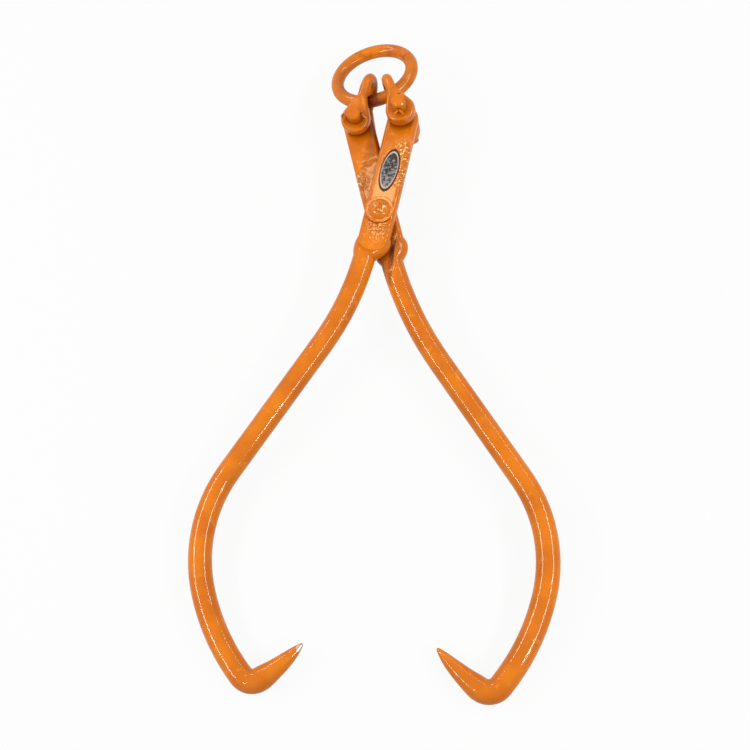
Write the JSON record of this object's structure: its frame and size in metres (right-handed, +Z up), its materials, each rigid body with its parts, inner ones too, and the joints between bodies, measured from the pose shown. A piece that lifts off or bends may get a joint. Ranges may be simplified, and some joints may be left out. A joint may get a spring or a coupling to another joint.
{
  "type": "skidding tongs",
  "caption": "Forged scissor log tongs: two crossed round-bar arms with pointed hooks on a rivet, bow shackles and a lifting ring",
  "frame": {"origin": "centre of the bounding box at ground level, with the tongs lying on their side as pictured", "axes": "+Z up, +Y from the hooks towards the lifting ring, +X to the right of the tongs seen from above"},
  "size_m": [0.3908, 0.7729, 0.0986],
  "materials": {
    "paint": "gloss orange enamel over forged steel",
    "label": "bare satin, grey"
  },
  "bodies": {
    "pivot": {"pivot_rivet": "paint", "upper_rivet_washer": "paint", "lower_rivet_washer": "paint"},
    "lower_arm_body": {"lower_arm": "paint"},
    "upper_arm_body": {"upper_arm": "paint", "label_plate": "label"},
    "left_shackle_body": {"left_shackle": "paint", "left_shackle_bolt": "paint", "left_cotter": "paint"},
    "right_shackle_body": {"right_shackle": "paint", "right_shackle_bolt": "paint", "right_cotter": "paint"},
    "ring_body": {"lifting_ring": "paint"}
  },
  "joints": [
    {"name": "arm_opening", "type": "hinge", "parent": "pivot", "child": "lower_arm_body", "pos_m": [0.00979, 0.14558, 0.04103], "axis": [-0.0682, -0.05, 0.9964], "range_deg": [-2, 6]},
    {"name": "upper_arm_turn", "type": "hinge", "parent": "pivot", "child": "upper_arm_body", "pos_m": [0.00979, 0.14558, 0.04103], "axis": [-0.0682, -0.05, 0.9964], "range_deg": [-6, 2]},
    {"name": "left_shackle_swing", "type": "hinge", "parent": "lower_arm_body", "child": "left_shackle_body", "pos_m": [-0.01778, 0.26525, 0.03692], "axis": [-0.0995, -0.1581, 0.9824], "range_deg": [-13.8, 4.6]},
    {"name": "right_shackle_swing", "type": "hinge", "parent": "upper_arm_body", "child": "right_shackle_body", "pos_m": [0.03525, 0.25879, 0.05669], "axis": [-0.1058, 0.0569, 0.9928], "range_deg": [-4.6, 13.8]},
    {"name": "ring_slide", "type": "slide", "parent": "pivot", "child": "ring_body", "axis": [0.002, 0.9996, -0.0297], "range_m": [-0.00963, 0.00321]}
  ],
  "couplings": [
    {"joint": "upper_arm_turn", "follows": "arm_opening", "ratio": -1},
    {"joint": "left_shackle_swing", "follows": "arm_opening", "ratio": -2.3},
    {"joint": "right_shackle_swing", "follows": "arm_opening", "ratio": 2.3},
    {"joint": "ring_slide", "follows": "arm_opening", "m_per_rad": -0.091966}
  ]
}
